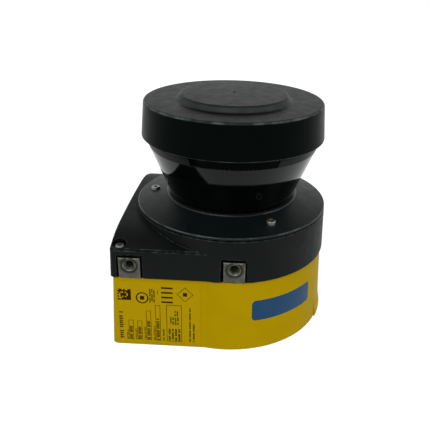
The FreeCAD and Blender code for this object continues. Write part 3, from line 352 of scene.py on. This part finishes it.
def coated_materials():
    return {
        "yellow_paint": surface("yellow_powder_coat", (0.385, 0.256, 0.0004), 0.45,
                                specular=0.02, grain=1300.0, depth=0.012, mottle=0.03,
                                rounding=0.5, wear_and_highlight_amount=0.35, wear_and_highlight_colour=(0.42, 0.32, 0.05)),
        "label_film": surface("label_film", (0.392, 0.259, 0.0008), 0.36, specular=0.03,
                              grain=600.0, depth=0.003, mottle=0.02, rounding=0.05, wear_and_highlight_amount=0.1),
        # Its light edge lines are painted highlights, its darker joints and hollows painted shade
        "black_casting": surface("black_casting", (0.0034, 0.0046, 0.0043), 0.52, specular=0.08,
                                 grain=1900.0, depth=0.02, mottle=0.2, rounding=0.4,
                                 wear_and_highlight_colour=(0.08, 0.09, 0.088), wear_and_highlight_amount=1.0,
                                 painted_shade_colour=(0.0003, 0.0006, 0.0006), painted_shade_reach=4.0,
                                 tint=(0.90, 1.0, 0.98)),
        # Its light rim line is a painted highlight
        "black_flange": surface("black_flange", (0.0022, 0.0036, 0.0036), 0.40, specular=0.115,
                                grain=1900.0, depth=0.014, mottle=0.2, rounding=0.3,
                                highlight_rims=[FLANGE_RIM], wear_and_highlight_colour=(0.07, 0.08, 0.077),
                                wear_and_highlight_amount=0.6, tint=(0.90, 1.0, 0.98)),
        # Its light rim lines, raised disc edge and skirt band are painted highlights
        "black_cap": surface("black_cap", (0.0004, 0.0014, 0.0012), 0.32, specular=0.022,
                             grain=2400.0, depth=0.006, mottle=0.2, rounding=0.4,
                             highlight_rims=[CAP_TOP_RIM, CAP_LOWER_RIM, CAP_DISC_RIM, CAP_SKIRT_RIM],
                             wear_and_highlight_colour=(0.072, 0.084, 0.081), tint=(0.90, 1.0, 0.98)),
        # Painted shade in the skirt's recess
        "painted_shade_strip": surface("painted_shade_strip", (0.0003, 0.0010, 0.0009), 0.12, specular=0.01,
                               grain=2400.0, depth=0.002, mottle=0.2, rounding=0.05),
        "window_plastic": surface("window_plastic", (0.0005, 0.0010, 0.0009), 0.07, specular=0.165,
                                  grain=300.0, depth=0.002, rough_play=0.03, mottle=0.3,
                                  rounding=0.3, wear_and_highlight_amount=0.0, tint=(0.90, 1.0, 0.98)),
    }


def soft_materials():
    return {
        "seal_rubber": surface("seal_rubber", (0.004, 0.005, 0.005), 0.28, specular=0.16,
                               grain=2600.0, depth=0.02, mottle=0.25, rounding=0.15,
                               wear_and_highlight_colour=(0.03, 0.03, 0.03)),
        # Gaskets darker and less glossy than the seal rubber: painted shade in the gaps between
        # parts
        "gasket_rubber_painted_shade": surface("gasket_rubber_painted_shade", (0.0008, 0.0009, 0.0009), 0.6, specular=0.03,
                                 grain=2600.0, depth=0.02, mottle=0.25, rounding=0.1, wear_and_highlight_amount=0.1),
        "cable_skin": surface("cable_skin", (0.014, 0.014, 0.015), 0.55, grain=1600.0,
                              depth=0.02, mottle=0.2, rounding=0.1),
    }


def metal_materials():
    return {
        # Darker inside the holes and joints: painted shade
        "bare_aluminium": surface("cast_aluminium", (0.070, 0.073, 0.062), 0.5, metal=1.0,
                                  grain=1400.0, depth=0.02, mottle=0.35, cloud=330.0,
                                  rounding=0.8, wear_and_highlight_colour=(0.30, 0.30, 0.28), wear_and_highlight_amount=0.6,
                                  stain=(0.011, 0.011, 0.005),
                                  painted_shade_colour=(0.006, 0.006, 0.005), painted_shade_reach=3.0),
        # Darker where the screw heads sit in their pockets: painted shade
        "plated_steel": surface("zinc_plated_steel", (0.24, 0.24, 0.225), 0.42, metal=1.0,
                                grain=1600.0, depth=0.01, mottle=0.15, cloud=300.0,
                                rounding=0.12, wear_and_highlight_colour=(0.60, 0.58, 0.54), stretch=(1.0, 1.0, 3.0),
                                painted_shade_colour=(0.02, 0.02, 0.018), painted_shade_reach=0.5),
        "plug_metal": surface("nickel_plate", (0.52, 0.50, 0.46), 0.24, metal=1.0, grain=1200.0,
                              depth=0.006, mottle=0.08, cloud=200.0, rounding=0.2,
                              stretch=(1.0, 4.0, 1.0)),
        "contact_gold": surface("gold_plate", (0.72, 0.47, 0.14), 0.2, metal=1.0, grain=2500.0,
                                depth=0.004, mottle=0.08, rounding=0.08),
        "copper_wire": surface("enamelled_copper", (0.50, 0.17, 0.06), 0.3, metal=1.0,
                               grain=500.0, depth=0.12, mottle=0.15, cloud=400.0,
                               stretch=(0.3, 0.3, 5.0), rounding=0.2),
        "disc_metal": surface("encoder_steel", (0.40, 0.40, 0.41), 0.3, metal=1.0, grain=1500.0,
                              depth=0.004, mottle=0.08, rounding=0.05,
                              stretch=(1.0, 1.0, 4.0)),
    }


def optical_materials():
    return {
        "mirror_face": surface("mirror_coating", (0.88, 0.88, 0.87), 0.02, metal=1.0,
                               grain=200.0, depth=0.0002, rough_play=0.01, mottle=0.02,
                               rounding=0.08, wear_and_highlight_amount=0.2),
        "lens_glass": surface("coated_glass", (0.75, 0.85, 0.90), 0.03, clear=0.9, ior=1.52,
                              grain=200.0, depth=0.0004, rough_play=0.01, mottle=0.02,
                              rounding=0.1, wear_and_highlight_amount=0.1),
        "emitter_resin": surface("emitter_resin", (0.10, 0.006, 0.008), 0.15, clear=0.3,
                                 grain=800.0, depth=0.003, mottle=0.1, rounding=0.15),
    }


def board_materials():
    return {
        "board_green": surface("solder_mask", (0.012, 0.085, 0.028), 0.35, grain=900.0,
                               depth=0.03, mottle=0.25, cloud=500.0, rounding=0.08,
                               wear_and_highlight_colour=(0.20, 0.22, 0.10)),
        "device_can": surface("tinned_can", (0.55, 0.52, 0.44), 0.25, metal=1.0, grain=1200.0,
                              depth=0.006, mottle=0.08, rounding=0.12),
        "insulator": surface("moulded_insulator", (0.016, 0.016, 0.017), 0.5, specular=0.4,
                             grain=2200.0, depth=0.01, mottle=0.2, rounding=0.12),
    }


def ink_materials():
    return {
        "label_ink": surface("label_ink", (0.024, 0.011, 0.0008), 0.4, specular=0.03,
                             grain=900.0, depth=0.002, mottle=0.25, rounding=0.02, wear_and_highlight_amount=0.3,
                             wear_and_highlight_colour=(0.16, 0.10, 0.01)),
        "blue_ink": surface("blue_ink", (0.010, 0.050, 0.115), 0.4, specular=0.12,
                            grain=1300.0, depth=0.006, mottle=0.06, rounding=0.02, wear_and_highlight_amount=0.2,
                            wear_and_highlight_colour=(0.10, 0.16, 0.20)),
    }


def make_materials():
    materials = {}
    for group in (coated_materials, soft_materials, metal_materials, optical_materials,
                  board_materials, ink_materials):
        materials.update(group())
    return materials


def dress_nodes(frame, materials):
    """Give every CAD node the material of its slot in the record, or a variant of it."""
    slots = {row["node"]: row["material_slot"] for row in frame["record"]["subparts"]}
    slots["hood_flange"] = "black_flange"
    # The gaskets take a darker rubber as painted shade in their gaps
    slots["housing_gasket"] = "gasket_rubber_painted_shade"
    slots["flange_gasket"] = "gasket_rubber_painted_shade"
    for name, obj in frame["nodes"].items():
        for slot in obj.material_slots:
            slot.material = materials[slots[name]]


# Mesh helpers

def new_piece(name, verts, faces, material, body="scanner"):
    mesh = bpy.data.meshes.new(name)
    mesh.from_pydata(verts, [], faces)
    mesh.validate()
    mesh.update()
    mesh.materials.append(material)
    obj = bpy.data.objects.new(name, mesh)
    bpy.context.scene.collection.objects.link(obj)
    if body:
        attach(obj, body)
    return obj


def add_loops(verts, faces, loops, closed=False):
    """Join equal point loops with quads; caps the two ends unless they meet."""
    start = len(verts)
    count = len(loops[0])
    for loop in loops:
        verts.extend(loop)
    steps = len(loops) if closed else len(loops) - 1
    for i in range(steps):
        a = start + i * count
        b = start + (i + 1) % len(loops) * count
        for j in range(count):
            k = (j + 1) % count
            faces.append((a + j, a + k, b + k, b + j))
    if not closed:
        faces.append(tuple(reversed(range(start, start + count))))
        faces.append(tuple(range(start + (len(loops) - 1) * count, start + len(loops) * count)))


class SidePrint:
    """Flat shapes that follow the label on the leaning side wall; y and z in millimetres."""

    def __init__(self):
        self.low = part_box("side_label")[0]
        self.verts = []
        self.faces = []

    def point(self, y, z, out):
        lean = (z * MM - self.low.z) * LEAN / LEAN_H
        return (self.low.x + lean - out, y * MM, z * MM)

    def shape(self, outline):
        front = [self.point(y, z, PRINT_OUT) for y, z in outline]
        rear = [self.point(y, z, -PRINT_IN) for y, z in outline]
        add_loops(self.verts, self.faces, [rear, front])

    def bar(self, y0, y1, z0, z1):
        self.shape([(y0, z0), (y1, z0), (y1, z1), (y0, z1)])

    def band(self, outline, inner):
        loops = [[self.point(*outer, PRINT_OUT), self.point(*outer, -PRINT_IN),
                  self.point(*hole, -PRINT_IN), self.point(*hole, PRINT_OUT)]
                 for outer, hole in zip(outline, inner)]
        add_loops(self.verts, self.faces, loops, closed=True)

    def frame(self, y0, y1, z0, z1, width):
        w = width
        self.band([(y0, z0), (y1, z0), (y1, z1), (y0, z1)],
                  [(y0 + w, z0 + w), (y1 - w, z0 + w), (y1 - w, z1 - w), (y0 + w, z1 - w)])

    def polygon(self, y, z, r, width, sides):
        def ring(radius):
            return [(y + radius * math.cos(math.tau * i / sides),
                     z + radius * math.sin(math.tau * i / sides)) for i in range(sides)]
        self.band(ring(r), ring(r - width))

    def ticks(self, y0, y1, z0, z1, pitch, seed, fill):
        """Column of short cross bars in uneven groups."""
        z = z0
        step = seed
        while z < z1:
            if step % 7 != 4:
                trim = 0.16 * (y1 - y0) * ((step * 5) % 3) / 2
                self.bar(y0 + trim, y1, z, min(z + fill * pitch, z1))
            z += pitch
            step += 1

    def lines(self, y0, y1, z0, z1, count, seed):
        """Upright thin lines of dashes."""
        pitch = (y1 - y0) / count
        for i in range(count):
            self.ticks(y0 + pitch * i, y0 + pitch * (i + 0.7), z0, z1, 0.7, seed + 3 * i, 0.72)


def add_cells(marks):
    """Square of cells, filled along two sides and unevenly between them."""
    for i in range(CELLS_ACROSS):
        for j in range(CELLS_UP):
            if i == 0 or j == 0 or (i * i * 3 + j * 5 + i * j * 7) % 11 > 3:
                y = CELLS_Y + CELL_PITCH[0] * i
                z = CELLS_Z + CELL_PITCH[1] * j
                marks.bar(y, y + CELL_SIZE[0], z, z + CELL_SIZE[1])


def add_fields(marks):
    """Boxed fields, each with bars in it and fine lines beside it."""
    for i, (y, top) in enumerate(LABEL_FIELDS):
        marks.frame(y - 0.1, y + FIELD_W, FIELD_Z, top, 0.2)
        marks.ticks(y + 0.3, y + FIELD_W - 0.4, FIELD_Z + 0.4, 0.55 * top + 3.0, 0.74, i, 0.66)
        marks.lines(y + FIELD_W + 0.2, y + FIELD_W + 1.2, FIELD_Z + 0.1, 8.5 + i, 2, i + 2)


def make_label_print(material):
    """Plain blocks and lines in the places of the label's print."""
    marks = SidePrint()
    add_cells(marks)
    add_fields(marks)
    marks.frame(*LABEL_TABLE)
    for draw, rows in ((marks.bar, LABEL_BARS), (marks.polygon, LABEL_RINGS),
                       (marks.ticks, LABEL_TICKS), (marks.lines, LABEL_LINES)):
        for row in rows:
            draw(*row)
    new_piece("label_print", marks.verts, marks.faces, material)


def make_front_band(material):
    """Plain blue field with rounded corners on the round front."""
    start = math.radians(BAND_START)
    span = math.radians(BAND_END) - start
    columns = 40
    rings = []
    for i in range(columns + 1):
        t = (1 - math.cos(math.pi * i / columns)) / 2
        angle = start + span * t
        from_end = min(t, 1 - t) * span * FRONT_R
        inside = max(BAND_CORNER - from_end, 0.0)
        half = BAND_HALF_H - BAND_CORNER + math.sqrt(max(BAND_CORNER ** 2 - inside ** 2, 1e-12))
        loop = []
        for z, out in ((BAND_Z - half, PRINT_OUT), (BAND_Z + half, PRINT_OUT),
                       (BAND_Z + half, -PRINT_IN), (BAND_Z - half, -PRINT_IN)):
            r = FRONT_R - LEAN * z / LEAN_H + out
            loop.append((r * math.cos(angle), r * math.sin(angle), z))
        rings.append(loop)
    verts = []
    faces = []
    add_loops(verts, faces, rings)
    new_piece("front_band", verts, faces, material)


def make_skirt_strip(material):
    """Black sheet in the cap skirt's recess: painted shade, darker and less glossy than the cap.
    """
    rings = []
    steps = 48
    for i in range(steps + 1):
        angle = math.radians(STRIP_START + STRIP_SPAN * i / steps)
        loop = []
        for (edge_r, z), drop in ((STRIP_LOW, 0.0), (STRIP_HIGH, 0.0), (STRIP_HIGH, STRIP_T),
                                  (STRIP_LOW, STRIP_T)):
            r = edge_r + PRINT_OUT - drop
            loop.append((r * math.cos(angle), r * math.sin(angle), z))
        rings.append(loop)
    verts = []
    faces = []
    add_loops(verts, faces, rings)
    new_piece("skirt_strip", verts, faces, material)


def add_thread(verts, faces, start, along, root_r, crest_r, pitch, length):
    """Helical ridge with a triangular section; start is the axis point where it begins."""
    axis = Vector(along)
    side = Vector((0, 0, 1))
    other = axis.cross(side)
    per_turn = 28
    run_out = 10
    steps = int(length / pitch * per_turn)
    half = 0.36 * pitch
    loops = []
    for i in range(steps + 1):
        turn = math.tau * i / per_turn
        out = side * math.cos(turn) + other * math.sin(turn)
        middle = Vector(start) + axis * (pitch * i / per_turn)
        fade = min(1.0, i / run_out, (steps - i) / run_out)
        crest = root_r + (crest_r - root_r) * fade
        loops.append([tuple(middle - axis * half + out * root_r),
                      tuple(middle + out * crest),
                      tuple(middle + axis * half + out * root_r)])
    add_loops(verts, faces, loops)


def make_insert_threads(materials):
    low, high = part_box("mounting_inserts")
    verts = []
    faces = []
    hole_z = low.z + INSERT_HOLE_RISE
    for y in (INSERT_BACK_Y, INSERT_FRONT_Y):
        for x, inward in ((high.x, -1.0), (low.x, 1.0)):
            start = (x + inward * INSERT_THREAD_IN, y, hole_z)
            add_thread(verts, faces, start, (inward, 0, 0), **INSERT_THREAD)
    new_piece("insert_threads", verts, faces, materials["bare_aluminium"])


def make_plug_threads(materials):
    for name, r in PLUG_R.items():
        low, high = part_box(name + "_connector")
        verts = []
        faces = []
        start = ((low.x + high.x) / 2, high.y - PLUG_THREAD_START, (low.z + high.z) / 2)
        add_thread(verts, faces, start, (0, 1, 0), r - PLUG_THREAD_ROOT, r + PLUG_THREAD_CREST,
                   PLUG_THREAD_PITCH, PLUG_THREAD_L)
        new_piece(name + "_plug_thread", verts, faces, materials["plug_metal"])


# Studio

def seen_directly(tree):
    """1 for camera, glossy and transmission rays, so that gloss shows the pale studio too."""
    path = add(tree, "ShaderNodeLightPath").outputs
    seen = math_node(tree, "MAXIMUM", path["Is Camera Ray"], path["Is Glossy Ray"])
    return math_node(tree, "MAXIMUM", seen, path["Is Transmission Ray"])


def make_world():
    """Soft light all round; gloss sees white near the horizon and a darker room overhead."""
    world = bpy.data.worlds.new("studio")
    world.use_nodes = True
    tree = world.node_tree
    tree.nodes.clear()
    soft = add(tree, "ShaderNodeBackground")
    soft.inputs["Color"].default_value = WHITE
    soft.inputs["Strength"].default_value = SOFT_LIGHT
    room = add(tree, "ShaderNodeBackground")
    room.inputs["Strength"].default_value = 1.0
    split = add(tree, "ShaderNodeSeparateXYZ")
    tree.links.new(add(tree, "ShaderNodeTexCoord").outputs["Generated"], split.inputs["Vector"])
    ramp = add(tree, "ShaderNodeValToRGB")
    ramp.color_ramp.elements[0].position = 0.50
    ramp.color_ramp.elements[0].color = WHITE
    ramp.color_ramp.elements[1].position = 0.80
    ramp.color_ramp.elements[1].color = CEILING
    tree.links.new(split.outputs["Z"], ramp.inputs["Fac"])
    tree.links.new(ramp.outputs["Color"], room.inputs["Color"])
    mix = add(tree, "ShaderNodeMixShader")
    tree.links.new(seen_directly(tree), mix.inputs["Fac"])
    tree.links.new(soft.outputs["Background"], mix.inputs[1])
    tree.links.new(room.outputs["Background"], mix.inputs[2])
    out = add(tree, "ShaderNodeOutputWorld")
    tree.links.new(mix.outputs["Shader"], out.inputs["Surface"])
    bpy.context.scene.world = world


def make_floor():
    """Plain white floor that keeps a faint shadow of the object."""
    material = bpy.data.materials.new("studio_floor")
    material.use_nodes = True
    tree = material.node_tree
    tree.nodes.clear()
    matte = add(tree, "ShaderNodeBsdfDiffuse")
    matte.inputs["Color"].default_value = FLOOR_GREY
    glow = add(tree, "ShaderNodeEmission")
    glow.inputs["Color"].default_value = WHITE
    lift = math_node(tree, "MULTIPLY", seen_directly(tree), FLOOR_GLOW)
    tree.links.new(lift, glow.inputs["Strength"])
    both = add(tree, "ShaderNodeAddShader")
    tree.links.new(matte.outputs["BSDF"], both.inputs[0])
    tree.links.new(glow.outputs["Emission"], both.inputs[1])
    out = add(tree, "ShaderNodeOutputMaterial")
    tree.links.new(both.outputs["Shader"], out.inputs["Surface"])
    corners = [(x * FLOOR_REACH, y * FLOOR_REACH, FLOOR_Z)
               for x, y in ((-1, -1), (1, -1), (1, 1), (-1, 1))]
    floor = new_piece("studio_floor", corners, [(0, 1, 2, 3)], material, body=None)


def add_softbox(name, place, width, height, watts, colour=(1.0, 1.0, 1.0)):
    """Area light that faces the object's middle; sizes and places in metres."""
    data = bpy.data.lights.new(name, "AREA")
    data.shape = "RECTANGLE"
    data.size = width
    data.size_y = height
    data.energy = watts
    data.color = colour
    obj = bpy.data.objects.new(name, data)
    obj.location = place
    towards = Vector(AIM) - Vector(place)
    obj.rotation_euler = towards.to_track_quat("-Z", "Y").to_euler()
    bpy.context.scene.collection.objects.link(obj)


def make_lights():
    add_softbox("key_light", (-1.60, 0.45, 1.35), width=0.9, height=0.7, watts=23.0)
    add_softbox("back_light", (1.85, 0.45, 1.0), width=1.8, height=0.8, watts=0.9,
                colour=(0.92, 1.0, 0.98))
    add_softbox("left_light", (-0.9, 1.3, 1.5), width=0.5, height=0.5, watts=5.0)
    add_softbox("front_light", (-0.5, -1.95, 1.05), width=1.0, height=0.8, watts=20.0)


def make_camera():
    az, el, roll = (math.radians(a) for a in (CAMERA_AZ, CAMERA_EL, CAMERA_ROLL))
    right = Vector((math.cos(az), math.sin(az), 0.0))
    back = Vector((math.sin(az) * math.cos(el), -math.cos(az) * math.cos(el), math.sin(el)))
    up = back.cross(right)
    across = math.cos(roll) * right + math.sin(roll) * up
    upright = math.cos(roll) * up - math.sin(roll) * right
    data = bpy.data.cameras.new("photo_camera")
    data.sensor_width = 36.0
    data.lens = CAMERA_LENS
    data.shift_x, data.shift_y = CAMERA_SHIFT
    data.clip_start = 0.01
    data.clip_end = 50.0
    obj = bpy.data.objects.new("photo_camera", data)
    bpy.context.scene.collection.objects.link(obj)
    turn = obj.matrix_world.copy()
    for column, axis in enumerate((across, upright, back, Vector(CAMERA_AT))):
        for row in range(3):
            turn[row][column] = axis[row]
    obj.matrix_world = turn
    bpy.context.scene.camera = obj


clear_scene()
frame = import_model()
bpy.context.scene.view_settings.view_transform = "Standard"
looks = make_materials()
dress_nodes(frame, looks)
make_label_print(looks["label_ink"])
make_front_band(looks["blue_ink"])
make_skirt_strip(looks["painted_shade_strip"])
make_insert_threads(looks)
make_plug_threads(looks)
make_world()
make_floor()
make_lights()
make_camera()
